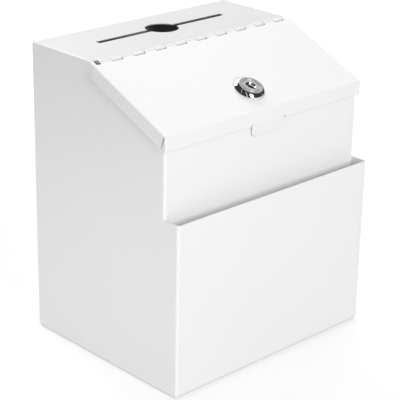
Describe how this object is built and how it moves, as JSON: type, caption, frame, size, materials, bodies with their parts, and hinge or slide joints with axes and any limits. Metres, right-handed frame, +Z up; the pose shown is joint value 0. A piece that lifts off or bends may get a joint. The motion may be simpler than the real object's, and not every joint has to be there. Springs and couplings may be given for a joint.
{
  "type": "donation box",
  "caption": "White sheet-steel donation box with a slotted top, a sloped hinged lid with a keyed cam lock, and an open card pocket across the front.",
  "frame": {"origin": "middle of the box's footprint, on the surface it stands on", "axes": "+Z up; -Y is the front with the card pocket; +Y is the back that goes against a wall; +X is to the right seen from the front"},
  "size_m": [0.188, 0.151, 0.2171],
  "materials": {
    "powder_coat": "white powder coat, semi-gloss, very fine texture",
    "lock_chrome": "polished chrome plate",
    "plug_face": "satin nickel plate",
    "zinc_plate": "bright zinc plate",
    "bright_steel": "plain drawn steel wire",
    "wafer_brass": "stamped brass"
  },
  "bodies": {
    "box": {"side_panel_left": "powder_coat", "side_panel_right": "powder_coat", "top_panel": "powder_coat", "back_panel": "powder_coat", "pocket_and_base": "powder_coat", "front_wall": "powder_coat", "lock_catch": "powder_coat", "hinge_body_leaf": "powder_coat", "hinge_pin": "bright_steel"},
    "lid": {"lid_panel": "powder_coat", "hinge_lid_leaf": "powder_coat", "lock_housing": "lock_chrome", "lock_washer": "zinc_plate", "lock_nut": "zinc_plate"},
    "plug": {"lock_plug": "plug_face", "lock_wafers": "wafer_brass", "wafer_springs": "bright_steel", "stop_washer": "zinc_plate", "lock_cam": "zinc_plate", "cam_washer": "zinc_plate", "cam_screw": "zinc_plate"}
  },
  "joints": [
    {"name": "lid_hinge", "type": "hinge", "parent": "box", "child": "lid", "pos_m": [0, 0.01025, 0.2149], "axis": [-1, 0, 0], "range_deg": [0, 125]},
    {"name": "lock_turn", "type": "hinge", "parent": "lid", "child": "plug", "pos_m": [0, -0.04488, 0.1927], "axis": [0, 0.4035, -0.915], "range_deg": [0, 90]}
  ]
}
